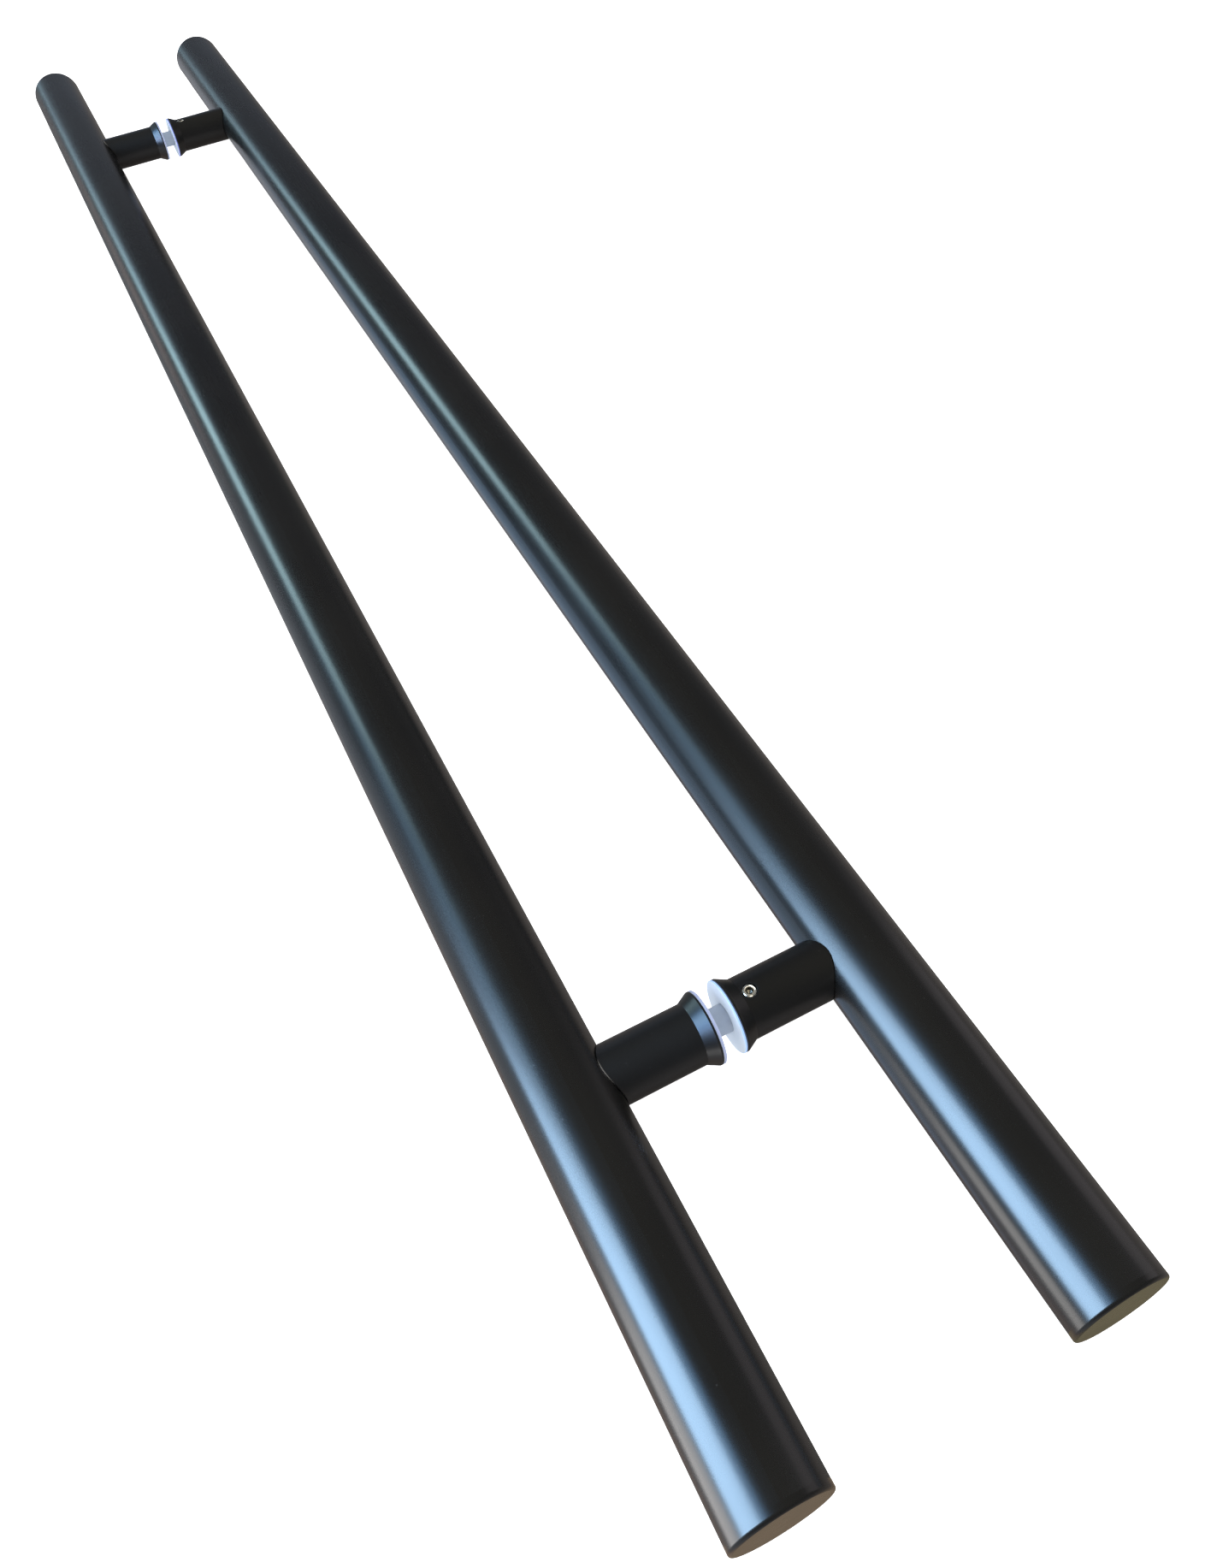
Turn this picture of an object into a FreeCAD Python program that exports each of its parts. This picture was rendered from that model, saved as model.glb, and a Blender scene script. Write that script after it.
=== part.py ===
import FreeCAD, Part
import math
import os

# Back-to-back ladder pull handle for a glass door, in millimetres
#
# Two round bars stand off a glass door on flared posts, and are clamped to each other through
# two holes in the glass. As modelled the handle lies on its two bars. +X runs along the bars,
# +Y goes from the front bar to the rear bar, and +Z is up. The origin is the middle of the slot
# that the glass fills, halfway between the two clamps. Hung on a door, +X points up, so the
# pieces at +X are called upper and those at -X lower.

# Bars and their end caps
bar_length = 1200.0
bar_diameter = 38.0
bar_wall = 1.2
cap_head = 3.0
cap_edge_round = 1.0
cap_spigot_length = 9.0
cap_spigot_wall = 1.5
cap_spigot_chamfer = 0.5
cap_play = 0.05

# Posts between the glass and the bars
post_pitch = 900.0
post_diameter = 25.0
post_length = 40.2
foot_flange = 2.5
foot_rim = 0.9
foot_flare_length = 4.8
foot_edge_chamfer = 0.2
cope_gap = 0.05
cope_chamfer = 0.35

# Glass, gaskets and sleeves
glass_thickness = 8.0
gasket_thickness = 1.2
gasket_edge_chamfer = 0.25
gasket_play = 0.15
sleeve_wall = 1.5
sleeve_relief = 0.2

# Mounting bush and threaded anchor inside the posts' feet
bush_diameter = 18.0
bush_length = 16.0
bush_play = 0.1
bush_chamfer = 0.5
groove_depth = 2.5
groove_from_foot = 9.2

# Clamp bolt through the glass, with a countersunk head
clamp_bolt_diameter = 8.0
clamp_bolt_play = 0.25
clamp_bolt_engagement = 12.0
clamp_head_flange = 3.8
clamp_head_land = 0.6
clamp_head_recess = 0.3
clamp_head_play = 0.05
clamp_socket_flats = 5.0
clamp_socket_depth = 3.0

# Set screw that locks the rear post on its bush
set_screw_diameter = 6.0
set_screw_recess = 0.45
set_screw_point_flat = 0.5
set_screw_point_play = 0.07
set_screw_chamfer = 0.5
set_screw_socket_flats = 3.0
set_screw_socket_floor = 2.6

# Screw that holds the post to the bar, and the boss it goes into
post_screw_diameter = 8.0
post_screw_play = 0.4
post_screw_engagement = 12.0
post_screw_head_flange = 2.5
post_screw_head_height = 8.0
post_screw_head_room = 4.0
post_screw_head_chamfer = 0.6
post_screw_socket_flats = 6.0
post_screw_socket_depth = 4.0
boss_diameter = 16.0
boss_spigot = 3.0
boss_depth = 13.0
boss_play = 0.05
boss_end_gap = 0.2
boss_chamfer = 0.5

# Threads are plain cylinders
thread_play = 0.05
thread_chamfer = 0.7
tapped_hole_chamfer = 0.3

# Radii that follow from the sizes above
bar_radius = bar_diameter / 2
tube_bore_radius = bar_radius - bar_wall
post_radius = post_diameter / 2
foot_radius = post_radius + foot_flange
bush_radius = bush_diameter / 2
boss_radius = boss_diameter / 2
clamp_bolt_radius = clamp_bolt_diameter / 2
clamp_hole_radius = clamp_bolt_radius + clamp_bolt_play
sleeve_radius = clamp_hole_radius + sleeve_wall
set_screw_radius = set_screw_diameter / 2
post_screw_radius = post_screw_diameter / 2

# Places along Y, from the middle of the glass out to the bar
glass_face = glass_thickness / 2
foot_face = glass_face + gasket_thickness
set_screw_place = foot_face + groove_from_foot
bush_end = foot_face + bush_length
screw_head_top = bush_end + post_screw_head_room
web_face = screw_head_top + post_screw_head_height
bar_crest = foot_face + post_length
boss_tip = bar_crest - boss_spigot
recess_face = boss_tip - boss_end_gap
bar_axis = bar_crest + bar_radius

# Directions, and how far a cutting tool runs past what it cuts
X = FreeCAD.Vector(1, 0, 0)
Y = FreeCAD.Vector(0, 1, 0)
Z = FreeCAD.Vector(0, 0, 1)
ORIGIN = FreeCAD.Vector(0, 0, 0)
overcut = 1.0

SIDES = {"front": -1, "rear": 1}
ENDS = {"upper": 1, "lower": -1}


def turned(outline, along, across):
    """A turned solid, from corners given as (radius, place along the axis)."""
    corners = [across * radius + along * place for radius, place in outline]
    face = Part.Face(Part.makePolygon(corners + corners[:1]))
    return face.revolve(ORIGIN, along, 360)


def hex_socket(flats, depth, mouth, inward, across):
    """A hexagonal socket with a drilled cone at its bottom, as a cutting tool."""
    corner = flats / math.sqrt(3)
    start = mouth - inward * overcut
    points = []
    for step in range(7):
        turn = FreeCAD.Rotation(inward, 60.0 * step)
        points.append(start + turn.multVec(across * corner))
    prism = Part.Face(Part.makePolygon(points)).extrude(inward * (depth + overcut))
    cone_depth = flats / 2 * math.tan(math.radians(30))
    cone = Part.makeCone(flats / 2, 0, cone_depth, mouth + inward * depth, inward)
    return prism.fuse(cone)


def placed(piece, side, end):
    """The piece, made for the rear side at mid-length, moved to its own side and end."""
    moved = piece.copy()
    if side == "front":
        moved.rotate(ORIGIN, Z, 180)
    moved.translate(X * (ENDS[end] * post_pitch / 2))
    return moved


def bar_tube(side):
    """The bar's tube, with a round hole in its wall at each post for the boss."""
    half = bar_length / 2 - cap_head
    axis = Y * (SIDES[side] * bar_axis)
    tube = Part.makeCylinder(bar_radius, 2 * half, axis - X * half, X)
    bore = Part.makeCylinder(tube_bore_radius, 2 * half + 2 * overcut, axis - X * (half + overcut), X)
    tube = tube.cut(bore)
    for end in ENDS.values():
        start = X * (end * post_pitch / 2) + Y * (SIDES[side] * boss_tip)
        hole = Part.makeCylinder(boss_radius + boss_play, boss_spigot + boss_depth, start, Y * SIDES[side])
        tube = tube.cut(hole)
    return tube


def end_cap(side, end):
    """A flush cap: a round-edged head as wide as the bar, and a hollow spigot in the tube."""
    outward = X * ENDS[end]
    face = bar_length / 2
    seat = face - cap_head
    tip = seat - cap_spigot_length
    spigot_radius = tube_bore_radius - cap_play
    spigot_bore = spigot_radius - cap_spigot_wall
    outline = [
        (0, face),
        (bar_radius, face),
        (bar_radius, seat),
        (spigot_radius, seat),
        (spigot_radius, tip + cap_spigot_chamfer),
        (spigot_radius - cap_spigot_chamfer, tip),
        (spigot_bore, tip),
        (spigot_bore, seat),
        (0, seat),
    ]
    cap = turned(outline, outward, Y)
    rim = [edge for edge in cap.Edges if abs(abs(edge.CenterOfMass.x) - face) < 1e-6]
    cap = cap.makeFillet(cap_edge_round, rim)
    cap.translate(Y * (SIDES[side] * bar_axis))
    return cap


def coped_blank():
    """The post's outside: a flared foot, a straight shank, and an end that fits the round bar."""
    flare_end = foot_face + foot_rim + foot_flare_length
    outline = [
        (0, foot_face),
        (foot_radius - foot_edge_chamfer, foot_face),
        (foot_radius, foot_face + foot_edge_chamfer),
        (foot_radius, foot_face + foot_rim),
        (post_radius, flare_end),
        (post_radius, bar_axis),
        (0, bar_axis),
    ]
    blank = turned(outline, Y, X)
    bar = Part.makeCylinder(bar_radius + cope_gap, 4 * post_radius, Y * bar_axis - X * (2 * post_radius), X)
    blank = blank.cut(bar)
    saddle = []
    for edge in blank.Edges:
        past_flare = edge.BoundBox.YMin > (flare_end + bar_crest) / 2
        if past_flare and not isinstance(edge.Curve, Part.Line):
            saddle.append(edge)
    return blank.makeChamfer(cope_chamfer, saddle)


def post(side):
    """A coped post with its stepped bore, and on the rear side the tapped hole for the set screw."""
    bore = [
        (0, foot_face - overcut),
        (bush_radius + bush_play, foot_face - overcut),
        (bush_radius + bush_play, web_face),
        (post_screw_radius + post_screw_play, web_face),
        (post_screw_radius + post_screw_play, recess_face),
        (boss_radius + boss_play, recess_face),
        (boss_radius + boss_play, bar_axis),
        (0, bar_axis),
    ]
    body = coped_blank().cut(turned(bore, Y, X))
    if side == "rear":
        hole_radius = set_screw_radius + thread_play
        hole_axis = Y * set_screw_place
        body = body.cut(Part.makeCylinder(hole_radius, post_radius + overcut, hole_axis, Z))
        mouth = hole_axis + Z * (post_radius - tapped_hole_chamfer)
        sink_depth = tapped_hole_chamfer + overcut
        body = body.cut(Part.makeCone(hole_radius, hole_radius + sink_depth, sink_depth, mouth, Z))
    return body


def bar_boss():
    """The tapped boss set in the bar's wall. Its outer end also centres the post."""
    inner_end = bar_crest + boss_depth
    bore_radius = post_screw_radius + thread_play
    outline = [
        (bore_radius + tapped_hole_chamfer, boss_tip),
        (boss_radius - boss_chamfer, boss_tip),
        (boss_radius, boss_tip + boss_chamfer),
        (boss_radius, inner_end - boss_chamfer),
        (boss_radius - boss_chamfer, inner_end),
        (bore_radius, inner_end),
        (bore_radius, boss_tip + tapped_hole_chamfer),
    ]
    return turned(outline, Y, X)


def post_screw():
    """The socket head cap screw that draws the post onto the bar."""
    head_radius = post_screw_radius + post_screw_head_flange
    tip = boss_tip + post_screw_engagement
    outline = [
        (0, screw_head_top),
        (head_radius - post_screw_head_chamfer, screw_head_top),
        (head_radius, screw_head_top + post_screw_head_chamfer),
        (head_radius, web_face),
        (post_screw_radius, web_face),
        (post_screw_radius, tip - thread_chamfer),
        (post_screw_radius - thread_chamfer, tip),
        (0, tip),
    ]
    socket = hex_socket(post_screw_socket_flats, post_screw_socket_depth, Y * screw_head_top, Y, Z)
    return turned(outline, Y, X).cut(socket)


def threaded_anchor():
    """The tapped plug in the front post's foot, which takes the clamp bolt."""
    bore_radius = clamp_bolt_radius + thread_play
    outline = [
        (bore_radius + tapped_hole_chamfer, foot_face),
        (bush_radius - bush_chamfer, foot_face),
        (bush_radius, foot_face + bush_chamfer),
        (bush_radius, bush_end - bush_chamfer),
        (bush_radius - bush_chamfer, bush_end),
        (bore_radius, bush_end),
        (bore_radius, foot_face + tapped_hole_chamfer),
    ]
    return turned(outline, Y, X)


def mounting_bush():
    """The bush that the clamp bolt holds against the glass, with a V groove for the set screw."""
    head_radius = clamp_bolt_radius + clamp_head_flange + clamp_head_play
    land_start = bush_end - clamp_head_recess - clamp_head_land
    cone_start = land_start - (head_radius - clamp_hole_radius)
    outline = [
        (clamp_hole_radius, foot_face),
        (bush_radius - bush_chamfer, foot_face),
        (bush_radius, foot_face + bush_chamfer),
        (bush_radius, set_screw_place - groove_depth),
        (bush_radius - groove_depth, set_screw_place),
        (bush_radius, set_screw_place + groove_depth),
        (bush_radius, bush_end - bush_chamfer),
        (bush_radius - bush_chamfer, bush_end),
        (head_radius, bush_end),
        (head_radius, land_start),
        (clamp_hole_radius, cone_start),
    ]
    return turned(outline, Y, X)


def clamp_bolt():
    """The countersunk bolt from the rear bush through the glass into the front anchor."""
    head_radius = clamp_bolt_radius + clamp_head_flange
    head_top = bush_end - clamp_head_recess
    land_start = head_top - clamp_head_land
    tip = -(foot_face + clamp_bolt_engagement)
    outline = [
        (0, head_top),
        (head_radius, head_top),
        (head_radius, land_start),
        (clamp_bolt_radius, land_start - clamp_head_flange),
        (clamp_bolt_radius, tip + thread_chamfer),
        (clamp_bolt_radius - thread_chamfer, tip),
        (0, tip),
    ]
    socket = hex_socket(clamp_socket_flats, clamp_socket_depth, Y * head_top, -Y, Z)
    return turned(outline, Y, X).cut(socket)


def set_screw():
    """The grub screw in the rear post: a cone point that bears in the bush's groove."""
    cone_apex = bush_radius - groove_depth + set_screw_point_play
    point = cone_apex + set_screw_point_flat
    top = post_radius - set_screw_recess
    outline = [
        (0, point),
        (set_screw_point_flat, point),
        (set_screw_radius, cone_apex + set_screw_radius),
        (set_screw_radius, top - set_screw_chamfer),
        (set_screw_radius - set_screw_chamfer, top),
        (0, top),
    ]
    socket_depth = top - point - set_screw_socket_floor
    socket = hex_socket(set_screw_socket_flats, socket_depth, Z * top, -Z, X)
    screw = turned(outline, Z, X).cut(socket)
    screw.translate(Y * set_screw_place)
    return screw


def gasket():
    """The soft washer between the post's foot and the glass, which slips over the sleeve's end."""
    bore_radius = sleeve_radius + gasket_play
    outline = [
        (bore_radius, glass_face),
        (foot_radius - gasket_edge_chamfer, glass_face),
        (foot_radius, glass_face + gasket_edge_chamfer),
        (foot_radius, foot_face - gasket_edge_chamfer),
        (foot_radius - gasket_edge_chamfer, foot_face),
        (bore_radius, foot_face),
    ]
    return turned(outline, Y, X)


def glass_sleeve():
    """The sleeve that keeps the clamp bolt off the glass."""
    end = foot_face - sleeve_relief
    outline = [
        (clamp_hole_radius, -end),
        (sleeve_radius, -end),
        (sleeve_radius, end),
        (clamp_hole_radius, end),
    ]
    return turned(outline, Y, X)


def build():
    """Every piece of the handle by name."""
    pieces = {}
    for side in SIDES:
        pieces[f"{side}_bar_tube"] = bar_tube(side)
        for end in ENDS:
            name = f"{side}_{end}"
            pieces[f"{name}_end_cap"] = end_cap(side, end)
            pieces[f"{name}_post"] = placed(post(side), side, end)
            pieces[f"{name}_bar_boss"] = placed(bar_boss(), side, end)
            pieces[f"{name}_post_screw"] = placed(post_screw(), side, end)
            pieces[f"{name}_gasket"] = placed(gasket(), side, end)
    for end in ENDS:
        pieces[f"{end}_threaded_anchor"] = placed(threaded_anchor(), "front", end)
        pieces[f"{end}_mounting_bush"] = placed(mounting_bush(), "rear", end)
        pieces[f"{end}_clamp_bolt"] = placed(clamp_bolt(), "rear", end)
        pieces[f"{end}_set_screw"] = placed(set_screw(), "rear", end)
        pieces[f"{end}_glass_sleeve"] = placed(glass_sleeve(), "rear", end)
    return pieces


os.makedirs("parts", exist_ok=True)
for name, piece in build().items():
    piece.exportStep(f"parts/{name}.step")
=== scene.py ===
import math
import bpy
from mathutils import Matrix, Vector


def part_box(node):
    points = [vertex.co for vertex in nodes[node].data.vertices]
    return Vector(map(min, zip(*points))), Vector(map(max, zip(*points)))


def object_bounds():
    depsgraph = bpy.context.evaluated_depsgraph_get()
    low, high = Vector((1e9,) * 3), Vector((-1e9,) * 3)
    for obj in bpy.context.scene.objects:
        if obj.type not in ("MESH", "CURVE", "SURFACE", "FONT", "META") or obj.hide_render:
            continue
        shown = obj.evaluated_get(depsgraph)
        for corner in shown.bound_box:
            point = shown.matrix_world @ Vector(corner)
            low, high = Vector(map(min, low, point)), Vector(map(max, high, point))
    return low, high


# Black ladder pull handle, lying on its two bars, in metres. +X runs along the bars, +Y goes from
# the front bar to the rear bar and +Z is up.

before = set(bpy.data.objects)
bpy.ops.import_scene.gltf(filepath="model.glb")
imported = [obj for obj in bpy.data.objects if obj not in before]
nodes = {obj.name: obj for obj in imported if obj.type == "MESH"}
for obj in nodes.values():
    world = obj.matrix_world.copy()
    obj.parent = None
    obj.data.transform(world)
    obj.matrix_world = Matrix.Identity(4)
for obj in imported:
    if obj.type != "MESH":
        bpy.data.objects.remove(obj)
cad_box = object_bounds()

SIDES = ("front", "rear")
ENDS = ("upper", "lower")

# Sizes and places read from the frame
bar_low, bar_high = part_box("rear_bar_tube")
bar_radius = (bar_high.z - bar_low.z) / 2
bar_axis = (bar_high.y + bar_low.y) / 2
post_low, post_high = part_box("rear_upper_post")
post_place = (post_high.x + post_low.x) / 2
foot_face = post_low.y
foot_radius = (post_high.x - post_low.x) / 2
screw_low, screw_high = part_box("upper_set_screw")
screw_place = (screw_low.y + screw_high.y) / 2
screw_radius = (screw_high.y - screw_low.y) / 2
screw_face = screw_high.z
handle_half = cad_box[1].x
floor_height = cad_box[0].z

# Sizes that no box gives
post_radius = 0.0125
foot_rim = 0.0009
socket_radius = 0.0017

# Camera, at the place that the photograph was taken from
camera_place = (0.65165, -0.11714, 0.46055)
camera_turn = (42.508, 4.505, 63.834)
camera_lens = 29.408
camera_shift = (0.01358, -0.07596)


# Small helpers for node trees

def feed(tree, socket, value):
    """Links an output to a socket, or sets the socket to a plain value."""
    if isinstance(value, bpy.types.NodeSocket):
        tree.links.new(value, socket)
    else:
        socket.default_value = value


def add_node(tree, kind, **values):
    """A new node whose input sockets are linked or set."""
    node = tree.nodes.new(kind)
    for name, value in values.items():
        feed(tree, node.inputs[name], value)
    return node


def calculate(tree, operation, *terms):
    """One Math node, and its output."""
    node = tree.nodes.new("ShaderNodeMath")
    node.operation = operation
    for socket, term in zip(node.inputs, terms):
        feed(tree, socket, term)
    return node.outputs[0]


def vary(tree, value, low, high, to_low=0.0, to_high=1.0):
    """Maps a value from one range to another, and keeps it in that range."""
    node = tree.nodes.new("ShaderNodeMapRange")
    for socket, term in zip(node.inputs, (value, low, high, to_low, to_high)):
        feed(tree, socket, term)
    return node.outputs["Result"]


def blend(tree, share, first, second):
    """The first colour or normal, blended into the second by share."""
    node = tree.nodes.new("ShaderNodeMix")
    node.data_type = "RGBA"
    feed(tree, node.inputs["Factor"], share)
    feed(tree, node.inputs["A"], first)
    feed(tree, node.inputs["B"], second)
    return node.outputs["Result"]


def blend_between(tree, value, start, stop, first, second):
    """The first colour where the value is at start, and the second where it is at stop."""
    return blend(tree, vary(tree, value, start, stop), first, second)


def tint(tree, colour, mask, amount, other):
    """The colour, blended into another by this amount of the mask."""
    return blend(tree, calculate(tree, "MULTIPLY", mask, amount), colour, other)


def noise(tree, place, scale, detail=2.0, rough=0.5):
    """A noise texture's value at a place."""
    node = add_node(tree, "ShaderNodeTexNoise", Vector=place, Scale=scale, Detail=detail, Roughness=rough)
    return node.outputs["Fac"]


def combine(tree, operation, *vectors, output="Vector"):
    """One Vector Math node, and its output."""
    node = tree.nodes.new("ShaderNodeVectorMath")
    node.operation = operation
    for socket, vector in zip(node.inputs, vectors):
        feed(tree, socket, vector)
    return node.outputs[output]


def scaled(tree, vector, amount):
    """The vector times a number."""
    node = tree.nodes.new("ShaderNodeVectorMath")
    node.operation = "SCALE"
    feed(tree, node.inputs[0], vector)
    feed(tree, node.inputs["Scale"], amount)
    return node.outputs["Vector"]


def split_axes(tree, vector):
    """The outputs X, Y and Z of a vector."""
    return add_node(tree, "ShaderNodeSeparateXYZ", Vector=vector).outputs


def mesh_normal(tree):
    """The normal that the mesh itself has."""
    return tree.nodes.new("ShaderNodeNewGeometry").outputs["Normal"]


def measure_from_axis(tree, place, along):
    """Seen from an axis through the origin: the nearest point on it, the way out to the place and the
    distance."""
    axis_point = combine(tree, "MULTIPLY", along, place)
    off_axis = combine(tree, "SUBTRACT", place, axis_point)
    radius = combine(tree, "LENGTH", off_axis, output="Value")
    return axis_point, off_axis, radius


def new_group(name, inputs, outputs):
    """An empty shader node group. Inputs are (name, socket kind, value), outputs (name, kind)."""
    tree = bpy.data.node_groups.new(name, "ShaderNodeTree")
    for label, kind, value in inputs:
        socket = tree.interface.new_socket(label, in_out="INPUT", socket_type=kind)
        if value is not None:
            socket.default_value = value
    for label, kind in outputs:
        tree.interface.new_socket(label, in_out="OUTPUT", socket_type=kind)
    start = tree.nodes.new("NodeGroupInput").outputs
    end = tree.nodes.new("NodeGroupOutput").inputs
    return tree, start, end


def place_group(tree, group, **values):
    """A group placed in a material, with its own values. Its outputs are returned."""
    node = tree.nodes.new("ShaderNodeGroup")
    node.node_tree = group
    for name, value in values.items():
        feed(tree, node.inputs[name], value)
    return node.outputs


# Shared effects

def build_coat_grain():
    """The fine dimpled skin of a sprayed coat: a soft ripple with a finer grain on top of it."""
    tree, start, end = new_group(
        "coat grain",
        [
            ("Place", "NodeSocketVector", None),
            ("Ripple", "NodeSocketFloat", 450.0),
            ("Grain", "NodeSocketFloat", 3200.0),
        ],
        [("Height", "NodeSocketFloat"), ("Speck", "NodeSocketFloat")],
    )
    grain_height = 0.35
    ripple = noise(tree, start["Place"], start["Ripple"], detail=1.0)
    grain = noise(tree, start["Place"], start["Grain"], detail=3.0, rough=0.7)
    feed(tree, end["Height"], calculate(tree, "MULTIPLY_ADD", grain, grain_height, ripple))
    feed(tree, end["Speck"], vary(tree, grain, 0.35, 0.75))
    return tree


def build_handling_marks():
    """Broad wiped patches and long faint smears, as hands and a cloth leave on a satin coat."""
    tree, start, end = new_group(
        "handling marks",
        [("Place", "NodeSocketVector", None), ("Smear", "NodeSocketVector", (7.0, 60.0, 60.0))],
        [("Patch", "NodeSocketFloat"), ("Streak", "NodeSocketFloat")],
    )
    patch = noise(tree, start["Place"], 14.0, detail=3.0)
    smeared = combine(tree, "MULTIPLY", start["Place"], start["Smear"])
    streak = noise(tree, smeared, 1.0, detail=4.0, rough=0.6)
    feed(tree, end["Patch"], vary(tree, patch, 0.35, 0.7))
    feed(tree, end["Streak"], vary(tree, streak, 0.45, 0.75))
    return tree


def build_settled_dust():
    """Sparse pale specks that lie on what faces up. They come in loose clumps."""
    tree, start, end = new_group(
        "settled dust",
        [
            ("Place", "NodeSocketVector", None),
            ("Spacing", "NodeSocketFloat", 260.0),
            ("Size", "NodeSocketFloat", 0.10),
        ],
        [("Mask", "NodeSocketFloat")],
    )
    cells = add_node(tree, "ShaderNodeTexVoronoi", Vector=start["Place"], Scale=start["Spacing"])
    speck = vary(tree, cells.outputs["Distance"], 0.0, start["Size"], 1.0, 0.0)
    clump = vary(tree, noise(tree, start["Place"], 90.0), 0.52, 0.66)
    up = vary(tree, split_axes(tree, mesh_normal(tree))["Z"], 0.2, 0.9)
    kept = calculate(tree, "MULTIPLY", speck, clump)
    feed(tree, end["Mask"], calculate(tree, "MULTIPLY", kept, up))
    return tree


def build_edge_band():
    """A broken-up band along a round edge. It is strongest where the distance to the edge's circle is
    zero: that is the square root of (distance from the axis - radius) squared plus (place along the
    axis - level) squared."""
    tree, start, end = new_group(
        "edge band",
        [
            ("Place", "NodeSocketVector", None),
            ("Along", "NodeSocketVector", (0.0, 1.0, 0.0)),
            ("Radius", "NodeSocketFloat", 0.02),
            ("Level", "NodeSocketFloat", 0.0),
            ("Width", "NodeSocketFloat", 0.0005),
        ],
        [("Mask", "NodeSocketFloat")],
    )
    level = combine(tree, "DOT_PRODUCT", start["Place"], start["Along"], output="Value")
    radius = measure_from_axis(tree, start["Place"], start["Along"])[2]
    out = calculate(tree, "SUBTRACT", radius, start["Radius"])
    up = calculate(tree, "SUBTRACT", calculate(tree, "ABSOLUTE", level), start["Level"])
    square = calculate(tree, "MULTIPLY_ADD", out, out, calculate(tree, "MULTIPLY", up, up))
    near = vary(tree, calculate(tree, "SQRT", square), 0.0, start["Width"], 1.0, 0.0)
    breakup = noise(tree, start["Place"], 700.0, detail=4.0, rough=0.65)
    feed(tree, end["Mask"], calculate(tree, "MULTIPLY", near, vary(tree, breakup, 0.40, 0.62, 0.15, 1.0)))
    return tree


def build_rounded_edge():
    """The normal of a round end whose edge is rolled over softly. Across is the distance from the axis
    and along is the place along it, both counted from 0 at the start of the roll to 1 at its end. The
    normal is outward * across + endward * along, with a little of the mesh's own normal."""
    tree, start, end = new_group(
        "rounded edge",
        [
            ("Place", "NodeSocketVector", None),
            ("Along", "NodeSocketVector", (1.0, 0.0, 0.0)),
            ("Radius", "NodeSocketFloat", 0.019),
            ("Level", "NodeSocketFloat", 0.6),
            ("Roll", "NodeSocketFloat", 0.002),
        ],
        [("Normal", "NodeSocketVector")],
    )
    own_share = (0.05, 0.05, 0.05)
    axis_point, off_axis, radius = measure_from_axis(tree, start["Place"], start["Along"])
    level = combine(tree, "LENGTH", axis_point, output="Value")
    roll_radius = calculate(tree, "SUBTRACT", start["Radius"], start["Roll"])
    roll_level = calculate(tree, "SUBTRACT", start["Level"], start["Roll"])
    across = vary(tree, radius, roll_radius, start["Radius"])
    along = vary(tree, level, roll_level, start["Level"])
    outward = scaled(tree, combine(tree, "NORMALIZE", off_axis), across)
    endward = scaled(tree, combine(tree, "NORMALIZE", axis_point), along)
    own = combine(tree, "MULTIPLY", mesh_normal(tree), own_share)
    whole = combine(tree, "ADD", combine(tree, "ADD", outward, endward), own)
    feed(tree, end["Normal"], combine(tree, "NORMALIZE", whole))
    return tree


def build_seam_glint():
    """A broken-up painted glint on what lies near a round bar's surface: it is strongest where the
    distance from the bar's axis equals the radius, and fades out over the width. Along X it is
    strongest at the brightest place and ends within its reach."""
    tree, start, end = new_group(
        "painted seam glint",
        [
            ("Place", "NodeSocketVector", None),
            ("Across", "NodeSocketVector", (0.0, 1.0, 1.0)),
            ("Radius", "NodeSocketFloat", 0.019),
            ("Width", "NodeSocketFloat", 0.0006),
            ("Brightest", "NodeSocketFloat", 0.0025),
            ("Reach", "NodeSocketFloat", 0.0055),
        ],
        [("Mask", "NodeSocketFloat")],
    )
    full_reach = 0.0015
    across = combine(tree, "MULTIPLY", start["Place"], start["Across"])
    radius = combine(tree, "LENGTH", across, output="Value")
    out = calculate(tree, "ABSOLUTE", calculate(tree, "SUBTRACT", radius, start["Radius"]))
    near = vary(tree, out, 0.0, start["Width"], 1.0, 0.0)
    place_x = split_axes(tree, start["Place"])["X"]
    away = calculate(tree, "ABSOLUTE", calculate(tree, "SUBTRACT", place_x, start["Brightest"]))
    glint_band = calculate(tree, "MULTIPLY", near, vary(tree, away, full_reach, start["Reach"], 1.0, 0.0))
    breakup = noise(tree, start["Place"], 130.0, detail=3.0)
    feed(tree, end["Mask"], calculate(tree, "MULTIPLY", glint_band, vary(tree, breakup, 0.25, 0.42)))
    return tree


def build_turned_lines():
    """The fine rings that a lathe tool leaves along an axis: a wave of the place along it, which
    wanders a little."""
    tree, start, end = new_group(
        "turned lines",
        [
            ("Place", "NodeSocketVector", None),
            ("Along", "NodeSocketVector", (0.0, 1.0, 0.0)),
            ("Pitch", "NodeSocketFloat", 0.00012),
        ],
        [("Height", "NodeSocketFloat"), ("Tint", "NodeSocketFloat")],
    )
    wander_size = 4.0
    along = combine(tree, "DOT_PRODUCT", start["Place"], start["Along"], output="Value")
    turns = calculate(tree, "DIVIDE", along, start["Pitch"])
    angle = calculate(tree, "MULTIPLY", turns, 2 * math.pi)
    wander = noise(tree, start["Place"], 260.0)
    wave = calculate(tree, "SINE", calculate(tree, "MULTIPLY_ADD", wander, wander_size, angle))
    feed(tree, end["Height"], wave)
    feed(tree, end["Tint"], vary(tree, noise(tree, start["Place"], 900.0, detail=3.0), 0.3, 0.7))
    return tree


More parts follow.
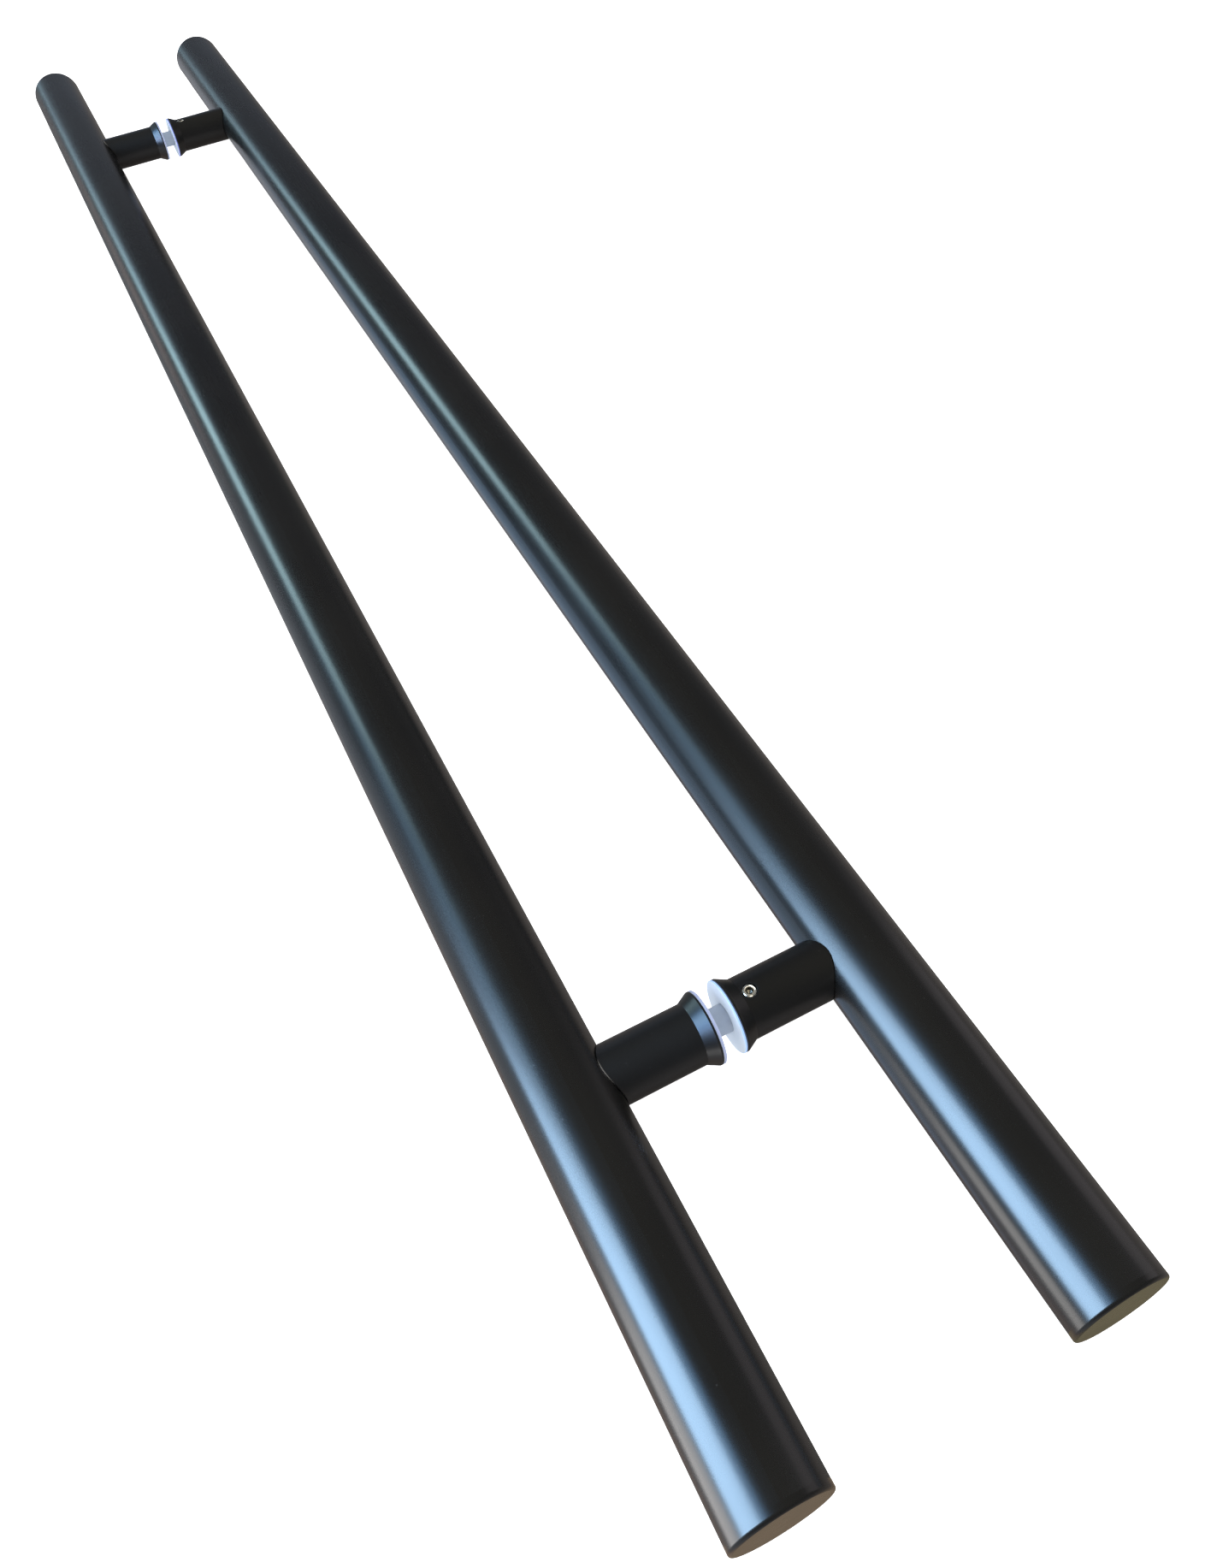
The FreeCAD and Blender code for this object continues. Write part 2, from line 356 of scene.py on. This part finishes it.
coat_grain = build_coat_grain()
handling_marks = build_handling_marks()
settled_dust = build_settled_dust()
edge_band = build_edge_band()
rounded_edge = build_rounded_edge()
seam_glint = build_seam_glint()
turned_lines = build_turned_lines()


# Materials

coat_black = (0.0032, 0.0030, 0.0029, 1)
coat_brown = (0.0050, 0.0043, 0.0037, 1)
coat_speck = (0.0075, 0.0070, 0.0066, 1)
coat_rubbed_highlight = (0.030, 0.028, 0.027, 1)
seam_glint_colour = (0.34, 0.325, 0.305, 1)
dust_grey = (0.22, 0.21, 0.20, 1)
steel_light = (0.70, 0.68, 0.63, 1)
steel_dark = (0.48, 0.46, 0.41, 1)
socket_shade = (0.12, 0.10, 0.065, 1)
gasket_clear = (0.66, 0.74, 0.84, 1)
gasket_cloud = (0.70, 0.77, 0.86, 1)
gasket_rim_shaded = (0.30, 0.34, 0.50, 1)
gasket_rim_lit = (0.34, 0.52, 0.90, 1)
gasket_rim_lit_far = (0.27, 0.31, 0.70, 1)
gasket_shade_line = (0.02, 0.035, 0.09, 1)
sleeve_clear = (0.34, 0.40, 0.50, 1)
sleeve_cloud = (0.40, 0.46, 0.55, 1)

# How strongly each effect tints the coat or the steel
speck_tint = 0.35
dust_tint = 0.1
rub_highlight_tint = 0.25
lathe_tint = 0.4

# What each effect adds to the roughness
patch_dulls = 0.025
streak_dulls = 0.03
speck_dulls = 0.02
dust_dulls = 0.15
rub_polishes = -0.06
drilling_dulls = 0.6
handling_dulls_steel = 0.08
lathe_dulls = 0.05
socket_dulls = 0.15
cloud_dulls = 0.08
skin_dulls = 0.05

# Depths of the fine relief, in metres
coat_relief = 0.000006
lathe_relief = 0.000002
skin_relief = 0.000008

# Widths of edges and bands
cap_roll = 0.0015
screw_roll = 0.0013
edge_inset = 0.0001
edge_width = 0.0005
seam_lift = 0.0001
seam_width = 0.00042
drilled_lift = 0.0003
drilled_width = 0.0012
rim_inset = 0.0003
rim_fade = 0.0002
foot_line_start = 0.0006
foot_line_full = 0.0003


def start_material(name):
    """A new material, its tree, its Principled shader and the place on the piece."""
    material = bpy.data.materials.new(name)
    material.use_nodes = True
    tree = material.node_tree
    shader = tree.nodes["Principled BSDF"]
    place = tree.nodes.new("ShaderNodeTexCoord").outputs["Object"]
    return material, tree, shader, place


def centred(tree, place, middle):
    """The place measured from the middle of a piece."""
    shift = tuple(-value for value in middle)
    return add_node(tree, "ShaderNodeMapping", Location=shift, Vector=place).outputs["Vector"]


def bump(tree, height, depth, under=None):
    """The normal of a surface with this height, whose full depth is in metres, over another normal."""
    node = add_node(tree, "ShaderNodeBump", Distance=depth, Height=height)
    if under:
        feed(tree, node.inputs["Normal"], under)
    return node.outputs["Normal"]


def add_scaled(tree, start, masks):
    """The start value plus each mask times its amount."""
    total = start
    for mask, amount in masks:
        total = calculate(tree, "MULTIPLY_ADD", mask, amount, total)
    return total


def edge_mask(tree, place, middle, along, radius, level, width):
    """The edge band's mask on a piece with this middle."""
    around = centred(tree, place, middle)
    measures = {"Along": along, "Radius": radius, "Level": level, "Width": width}
    return place_group(tree, edge_band, Place=around, **measures)["Mask"]


def rolled_normal(tree, around, along, radius, level, roll):
    """The rounded edge's normal, for a place that is already centred."""
    measures = {"Along": along, "Radius": radius, "Level": level, "Roll": roll}
    return place_group(tree, rounded_edge, Place=around, **measures)["Normal"]


def satin_black(name, roughness, rims=(), seams=(), holes=(), rolled=None):
    """Satin black coat on steel. It is faintly browner and rougher in wiped patches. Rims get a paler,
    smoother rubbed band that is partly a painted highlight, given as (middle, along, radius, level,
    width). Seams get a painted glint in a bare-metal colour where they meet a bar, given as (middle,
    across, radius, width). Holes are rims whose coat is matt where it was drilled. A rolled edge is
    given as (middle, along, radius, level, roll)."""
    material, tree, shader, place = start_material(name)
    grain = place_group(tree, coat_grain, Place=place)
    marks = place_group(tree, handling_marks, Place=place)
    dust = place_group(tree, settled_dust, Place=place)["Mask"]
    colour = blend(tree, marks["Patch"], coat_black, coat_brown)
    colour = tint(tree, colour, grain["Speck"], speck_tint, coat_speck)
    colour = tint(tree, colour, dust, dust_tint, dust_grey)
    rough = add_scaled(tree, roughness, [
        (marks["Patch"], patch_dulls),
        (marks["Streak"], streak_dulls),
        (grain["Speck"], speck_dulls),
        (dust, dust_dulls),
    ])
    # Rims: a paler, smoother rubbed band that is partly a painted highlight on the edge
    for rim in rims:
        rubbed_highlight = edge_mask(tree, place, *rim)
        colour = tint(tree, colour, rubbed_highlight, rub_highlight_tint, coat_rubbed_highlight)
        rough = add_scaled(tree, rough, [(rubbed_highlight, rub_polishes)])
    # Seams: a painted glint in a bare-metal colour along the coped edge
    for middle, across, radius, width in seams:
        around = centred(tree, place, middle)
        seam = place_group(tree, seam_glint, Place=around, Across=across, Radius=radius, Width=width)
        colour = blend(tree, seam["Mask"], colour, seam_glint_colour)
    for hole in holes:
        rough = add_scaled(tree, rough, [(edge_mask(tree, place, *hole), drilling_dulls)])
    under = None
    if rolled:
        middle, *measures = rolled
        under = rolled_normal(tree, centred(tree, place, middle), *measures)
    feed(tree, shader.inputs["Base Color"], colour)
    feed(tree, shader.inputs["Roughness"], rough)
    feed(tree, shader.inputs["Normal"], bump(tree, grain["Height"], coat_relief, under))
    shader.inputs["IOR"].default_value = 1.5
    return material


def stainless(name, middle, along, pitch, roughness, socket=0.0):
    """Bare stainless steel with turned lines, a little duller where it was handled. Where a socket's
    radius is given, the steel within it is darkened in blotches with painted shade and made rougher,
    and the face round it is rolled over towards the set screw's outline."""
    material, tree, shader, place = start_material(name)
    around = centred(tree, place, middle)
    lines = place_group(tree, turned_lines, Place=around, Along=along, Pitch=pitch)
    marks = place_group(tree, handling_marks, Place=around, Smear=(60.0, 60.0, 60.0))
    tone = tint(tree, steel_light, lines["Tint"], lathe_tint, steel_dark)
    rough = add_scaled(tree, roughness, [
        (marks["Patch"], handling_dulls_steel),
        (lines["Tint"], lathe_dulls),
    ])
    under = None
    if socket:
        # Painted shade in the hex socket, blotchy, with rougher steel there
        radius = measure_from_axis(tree, around, along)[2]
        inside = vary(tree, radius, socket * 0.98, socket * 1.04, 1.0, 0.0)
        blotch = vary(tree, noise(tree, around, 1800.0, detail=3.0), 0.35, 0.65, 0.72, 0.97)
        tone = tint(tree, tone, inside, blotch, socket_shade)
        rough = add_scaled(tree, rough, [(inside, socket_dulls)])
        rolled = rolled_normal(tree, around, along, screw_radius, screw_face, screw_roll)
        under = blend(tree, inside, rolled, mesh_normal(tree))
    feed(tree, shader.inputs["Base Color"], tone)
    feed(tree, shader.inputs["Roughness"], rough)
    feed(tree, shader.inputs["Normal"], bump(tree, lines["Height"], lathe_relief, under))
    shader.inputs["Metallic"].default_value = 0.9
    return material


def soft_plastic(name, clear, cloudy, roughness, milkiness, clearness, rim_radius=0.0):
    """Translucent moulded plastic: faint clouds in it, and a fine matt skin. Past the rim's radius from
    the clamp's axis the colour is painted light and shade: a darker shaded rim on the front side, a
    painted lit blue rim on the rear side, more so at the far clamp, and a painted shade line where it
    meets the rear foot."""
    material, tree, shader, place = start_material(name)
    cloud = vary(tree, noise(tree, place, 130.0, detail=3.0), 0.3, 0.7)
    skin = noise(tree, place, 2600.0, detail=3.0, rough=0.6)
    colour = blend(tree, cloud, clear, cloudy)
    if rim_radius:
        step = 0.001
        around = centred(tree, combine(tree, "ABSOLUTE", place), (post_place, 0.0, 0.0))
        across = combine(tree, "MULTIPLY", around, (1.0, 0.0, 1.0))
        radius = combine(tree, "LENGTH", across, output="Value")
        # Painted light and shade on the rim: a lit copy on the rear side, another at the far clamp, and a
        # painted shade line at the rear foot
        rim = vary(tree, radius, rim_radius, rim_radius + rim_fade)
        axes = split_axes(tree, place)
        lit_rim = blend_between(tree, axes["X"], step, -step, gasket_rim_lit, gasket_rim_lit_far)
        rim_colour = blend_between(tree, axes["Y"], -step, step, gasket_rim_shaded, lit_rim)
        colour = blend(tree, rim, colour, rim_colour)
        at_foot = vary(tree, axes["Y"], foot_face - foot_line_start, foot_face - foot_line_full)
        colour = tint(tree, colour, rim, at_foot, gasket_shade_line)
    rough = add_scaled(tree, roughness, [(cloud, cloud_dulls), (skin, skin_dulls)])
    feed(tree, shader.inputs["Base Color"], colour)
    feed(tree, shader.inputs["Roughness"], rough)
    feed(tree, shader.inputs["Normal"], bump(tree, skin, skin_relief))
    shader.inputs["Subsurface Weight"].default_value = milkiness
    shader.inputs["Subsurface Radius"].default_value = (1.0, 1.1, 1.3)
    shader.inputs["Subsurface Scale"].default_value = 0.0015
    shader.inputs["Transmission Weight"].default_value = clearness
    shader.inputs["IOR"].default_value = 1.45
    return material


def dress(node_name, material):
    """Gives a carried-over node its finish."""
    slots = nodes[node_name].material_slots
    if not slots:
        nodes[node_name].data.materials.append(material)
    for slot in slots:
        slot.material = material


along_x = (1, 0, 0)
along_y = (0, 1, 0)
along_z = (0, 0, 1)
across_bar = (0, 1, 1)
bar_coat = satin_black("satin black, bars", 0.25)

for side, sign in zip(SIDES, (-1, 1)):
    bar_middle = (0.0, sign * bar_axis, 0.0)
    rolled_cap = (bar_middle, along_x, bar_radius, handle_half, cap_roll)
    cap_coat = satin_black(f"satin black, {side} caps", 0.25, rolled=rolled_cap)
    dress(f"{side}_bar_tube", bar_coat)
    for end, end_sign in zip(ENDS, (1, -1)):
        name = f"{side}_{end}"
        place_x = end_sign * post_place
        middle = (place_x, 0.0, 0.0)
        # The foot's two rim edges get the rubbed band, partly a painted highlight
        foot_levels = (foot_face + edge_inset, foot_face + foot_rim)
        foot_edges = [(middle, along_y, foot_radius, level, edge_width) for level in foot_levels]
        cope_middle = (place_x, sign * bar_axis, 0.0)
        cope_seam = (cope_middle, across_bar, bar_radius + seam_lift, seam_width)
        screw_middle = (place_x, screw_place, 0.0)
        screw_hole = (screw_middle, along_z, screw_radius + drilled_lift, post_radius, drilled_width)
        # Only the front posts get the painted glint along the coped edge
        seams = [cope_seam] if side == "front" else []
        holes = [screw_hole] if side == "rear" else []
        post_coat = satin_black(f"satin black, {side} {end} post", 0.33, foot_edges, seams, holes)
        boss_steel = stainless(f"turned steel, {side} {end} boss", middle, along_y, 0.00016, 0.30)
        screw_steel = stainless(f"bright steel, {side} {end} screw", middle, along_y, 0.00009, 0.22)
        dress(f"{name}_end_cap", cap_coat)
        dress(f"{name}_post", post_coat)
        dress(f"{name}_bar_boss", boss_steel)
        dress(f"{name}_post_screw", screw_steel)

for end, end_sign in zip(ENDS, (1, -1)):
    middle = (end_sign * post_place, 0.0, 0.0)
    clamp_steel = stainless(f"turned steel, {end} clamp", middle, along_y, 0.00014, 0.28)
    for part in ("threaded_anchor", "mounting_bush", "clamp_bolt"):
        dress(f"{end}_{part}", clamp_steel)
    screw_middle = (end_sign * post_place, screw_place, 0.0)
    screw_name = f"bright steel, {end} set screw"
    screw_steel = stainless(screw_name, screw_middle, along_z, 0.00008, 0.12, socket_radius)
    dress(f"{end}_set_screw", screw_steel)

rim_start = foot_radius - rim_inset
gasket_plastic = soft_plastic("milky gasket", gasket_clear, gasket_cloud, 0.42, 0.35, 0.0, rim_start)
sleeve_plastic = soft_plastic("cloudy sleeve", sleeve_clear, sleeve_cloud, 0.40, 0.25, 0.25)
gaskets = [f"{side}_{end}_gasket" for side in SIDES for end in ENDS]
sleeves = [f"{end}_glass_sleeve" for end in ENDS]
for name in gaskets:
    dress(name, gasket_plastic)
for name in sleeves:
    dress(name, sleeve_plastic)


# Floor, light and camera

floor_half = 12.0
floor_glow = 0.85
air_strength = 1.5
low_left = (0.50, 0.54, 0.60, 1)
low_far = (0.19, 0.205, 0.225, 1)
low_right = (0.32, 0.29, 0.27, 1)
under_left = (0.42, 0.33, 0.29, 1)
under_right = (0.15, 0.14, 0.13, 1)
room_dim = (0.15, 0.155, 0.16, 1)
room_deep = (0.10, 0.107, 0.128, 1)
room_far = (0.34, 0.39, 0.47, 1)
room_top = (0.27, 0.26, 0.22, 1)
wall_distance = 4.0
near_window = (-1.40, 0.90)
near_window_sill = 0.15
near_window_top = 4.3
daylight = (11.4, 17.8, 25.4)
bars = [f"{side}_bar_tube" for side in SIDES]
front_posts = [f"front_{end}_post" for end in ENDS]
set_screws = [f"{end}_set_screw" for end in ENDS]


def glossy_split(tree, plain, mirrored):
    """The plain shader, except that a reflection sees the mirrored one."""
    ray = tree.nodes.new("ShaderNodeLightPath").outputs["Is Glossy Ray"]
    mix = tree.nodes.new("ShaderNodeMixShader")
    tree.links.new(ray, mix.inputs[0])
    tree.links.new(plain, mix.inputs[1])
    tree.links.new(mirrored, mix.inputs[2])
    return mix.outputs[0]


def make_floor():
    """A wide pale floor. Reflections look through it to the darker studio below, as over a bench."""
    corners = [(-floor_half, -floor_half), (floor_half, -floor_half),
               (floor_half, floor_half), (-floor_half, floor_half)]
    mesh = bpy.data.meshes.new("floor")
    mesh.from_pydata([(x, y, floor_height) for x, y in corners], [], [(0, 1, 2, 3)])
    floor = bpy.data.objects.new("floor", mesh)
    bpy.context.scene.collection.objects.link(floor)
    material = bpy.data.materials.new("pale floor")
    material.use_nodes = True
    tree = material.node_tree
    shader = tree.nodes["Principled BSDF"]
    shader.inputs["Base Color"].default_value = (0.90, 0.90, 0.90, 1)
    shader.inputs["Roughness"].default_value = 0.9
    shader.inputs["Specular IOR Level"].default_value = 0.0
    shader.inputs["Emission Color"].default_value = (1.0, 1.0, 1.0, 1)
    shader.inputs["Emission Strength"].default_value = floor_glow
    open_shader = tree.nodes.new("ShaderNodeBsdfTransparent")
    surface = glossy_split(tree, shader.outputs[0], open_shader.outputs[0])
    tree.links.new(surface, tree.nodes["Material Output"].inputs["Surface"])
    mesh.materials.append(material)


def make_world():
    """White studio air for the camera and the floor. Reflections see a dim room instead, which is
    paler low on the window side and darker towards its far end, with a pale far wall."""
    world = bpy.data.worlds.new("studio")
    bpy.context.scene.world = world
    world.use_nodes = True
    world.cycles.sampling_method = "NONE"
    tree = world.node_tree
    tree.nodes.clear()
    white = add_node(tree, "ShaderNodeBackground", Color=(1.0, 1.0, 1.0, 1), Strength=air_strength)
    way = split_axes(tree, tree.nodes.new("ShaderNodeTexCoord").outputs["Generated"])
    left = blend_between(tree, way["X"], -0.70, -0.92, low_left, low_far)
    low = blend_between(tree, way["Y"], -0.6, 0.4, left, low_right)
    under = blend_between(tree, way["Y"], -0.3, 0.0, under_left, under_right)
    low = blend_between(tree, way["Z"], -0.6, -0.85, low, under)
    high = blend_between(tree, way["X"], -0.72, -0.86, room_dim, room_deep)
    high = blend_between(tree, way["X"], -0.895, -0.96, high, room_far)
    high = blend_between(tree, way["Z"], 0.5, 1.0, high, room_top)
    room = blend_between(tree, way["Z"], -0.25, 0.10, low, high)
    dim = add_node(tree, "ShaderNodeBackground", Color=room, Strength=1.0)
    surface = glossy_split(tree, white.outputs[0], dim.outputs[0])
    add_node(tree, "ShaderNodeOutputWorld", Surface=surface)


def panel_light(name, place, facing, width, height, radiance):
    """A soft rectangular light that only reflections see. It shines along the facing direction."""
    light = bpy.data.lights.new(name, "AREA")
    light.shape = "RECTANGLE"
    light.size = width
    light.size_y = height
    strength = max(radiance)
    light.color = [value / strength for value in radiance]
    light.energy = strength * math.pi * width * height
    panel = bpy.data.objects.new(name, light)
    bpy.context.scene.collection.objects.link(panel)
    panel.location = place
    panel.rotation_euler = Vector(facing).to_track_quat("-Z", "Y").to_euler()
    panel.visible_camera = False
    panel.visible_diffuse = False
    panel.visible_transmission = False
    panel.visible_volume_scatter = False
    return panel


def wall_window(name, far, near, bottom, top, radiance):
    """A window in the wall on the front side, from far to near along X."""
    place = ((far + near) / 2, -wall_distance, (bottom + top) / 2)
    return panel_light(name, place, (0, 1, 0), near - far, top - bottom, radiance)


def card(name, azimuth, elevation, distance, width, height, radiance):
    """A light that faces the handle from this direction, in degrees. Azimuth goes from +X to +Y."""
    a = math.radians(azimuth)
    e = math.radians(elevation)
    way = Vector((math.cos(e) * math.cos(a), math.cos(e) * math.sin(a), math.sin(e)))
    return panel_light(name, way * distance, -way, width, height, radiance)


def shine_only_on(panel, names):
    """The light reaches these nodes and no others."""
    lit = bpy.data.collections.new(panel.name)
    for name in names:
        lit.objects.link(nodes[name])
    panel.light_linking.receiver_collection = lit


def shine_through_floor(panel):
    """Only the handle itself shades this light, so it can lie below the floor."""
    shading = bpy.data.collections.new(f"{panel.name}, shaded by")
    for node in nodes.values():
        shading.objects.link(node)
    panel.light_linking.blocker_collection = shading


def make_far_windows():
    """The windows further along the wall, and what is seen of the wall between them."""
    windows = (
        ("near window, sky", -1.60, 0.90, 4.35, 7.5, (1.8, 3.7, 6.4)),
        ("pillar", -4.15, -1.65, 1.3, 3.9, (0.50, 1.0, 1.55)),
        ("far window, near end", -5.1, -4.2, 1.7, 4.1, (4.7, 7.1, 7.8)),
        ("far window", -7.2, -5.15, 1.25, 3.3, (5.4, 8.2, 8.9)),
        ("far window, far end", -8.5, -7.25, 1.15, 3.1, (2.9, 4.7, 5.5)),
        ("far window, dim end", -10.4, -8.5, 0.7, 4.4, (0.62, 0.90, 1.22)),
    )
    for window in windows:
        wall_window(*window)


def make_low_lights():
    """Dim light from below the floor's level along the wall, each on one bar."""
    low_lights = (
        ("far sill", "front", -9.6, -6.2, -2.3, -0.2, (0.62, 0.48, 0.43)),
        ("low haze", "rear", -9.0, -1.2, -12.0, -1.2, (0.16, 0.42, 0.74)),
        ("far haze", "rear", -30.0, -9.0, -12.0, -1.2, (0.46, 0.46, 0.50)),
    )
    for name, side, far, near, bottom, top, radiance in low_lights:
        low_light = wall_window(f"{name}, on {side} bar", far, near, bottom, top, radiance)
        shine_only_on(low_light, [f"{side}_bar_tube"])
        shine_through_floor(low_light)


def make_sills():
    """The bright sill under the near window, a little lower for the rear side than for the front."""
    for side, top, radiance in (("front", -0.42, (5.1, 4.95, 4.85)), ("rear", -0.65, (4.1, 3.95, 3.8))):
        sill = wall_window(f"sill, {side}", -0.72, 0.90, -3.1, top, radiance)
        shine_only_on(sill, [name for name in nodes if name.startswith(side)])
        shine_through_floor(sill)


def make_bench_cards():
    """Warm cards under the floor, which only the end caps mirror."""
    size = 1.5
    for side, radiance in (("front", (0.28, 0.185, 0.095)), ("rear", (0.18, 0.145, 0.045))):
        bench = panel_light(f"bench card, {side}", (0.75, 0.2, -1.0), along_z, size, size, radiance)
        shine_only_on(bench, [f"{side}_{end}_end_cap" for end in ENDS])
        shine_through_floor(bench)


def make_steel_lamps():
    """Three lamps that only the set screws mirror."""
    lamps = (
        ("over", 140, 60, 0.8, 0.6, (2.3, 2.15, 1.85)),
        ("rear", 117, 30, 1.5, 0.8, (6.5, 7.0, 6.8)),
        ("end", 2, 50, 0.6, 0.5, (4.6, 4.3, 3.4)),
    )
    for where, azimuth, elevation, width, height, radiance in lamps:
        lamp = card(f"lamp on steel, {where}", azimuth, elevation, 2.0, width, height, radiance)
        shine_only_on(lamp, set_screws)


def make_lights():
    """The windows in the wall, dim cards for the other sides, and lights for plastic and steel."""
    window = wall_window("near window", *near_window, near_window_sill, near_window_top, daylight)
    shine_only_on(window, [name for name in nodes if not name.endswith("_post")])
    window_part = wall_window("near window, on front posts", *near_window, 2.0, near_window_top, daylight)
    shine_only_on(window_part, front_posts)
    make_far_windows()
    make_low_lights()
    blind = wall_window("window top, on posts", -2.2, 3.6, 4.3, 5.5, (4.6, 12.4, 25.5))
    side_pane = wall_window("window side, on posts", 0.92, 2.7, 0.1, 3.2, (13.0, 18.5, 30.0))
    for pane in (blind, side_pane):
        shine_only_on(pane, front_posts)
    make_sills()
    pale_card = card("pale card, on feet", -33, -12, 3.0, 1.5, 1.2, (3.2, 3.1, 2.95))
    shine_only_on(pale_card, front_posts)
    shine_through_floor(pale_card)
    end_window = wall_window("end window", 1.7, 6.0, 0.6, 3.0, (4.4, 5.6, 6.6))
    shine_only_on(end_window, bars)
    back_card = card("back card", 28, 38, 3.2, 3.4, 1.1, (3.4, 3.5, 3.6))
    shine_only_on(back_card, bars)
    panel_light("rear wall", (0.1, wall_distance, 1.05), (0, -1, 0), 2.4, 2.3, (0.55, 0.50, 0.52))
    rear_card = card("rear card", 60, 28, 4.0, 1.6, 2.0, (2.4, 2.4, 2.6))
    shine_only_on(rear_card, bars)
    make_bench_cards()
    glow_name = "near window, on plastic"
    glow = wall_window(glow_name, *near_window, near_window_sill, near_window_top, (1.2, 2.6, 5.0))
    glow.visible_diffuse = True
    glow.visible_glossy = False
    shine_only_on(glow, gaskets + sleeves)
    make_steel_lamps()


def make_camera():
    """The camera, whose shift frames the handle as the photograph does."""
    data = bpy.data.cameras.new("camera")
    data.lens = camera_lens
    data.sensor_width = 36.0
    data.shift_x, data.shift_y = camera_shift
    data.clip_start = 0.01
    data.clip_end = 60.0
    camera = bpy.data.objects.new("camera", data)
    camera.location = camera_place
    camera.rotation_euler = [math.radians(angle) for angle in camera_turn]
    bpy.context.scene.collection.objects.link(camera)
    bpy.context.scene.camera = camera


make_floor()
make_world()
make_lights()
make_camera()
bpy.context.scene.view_settings.view_transform = "Standard"
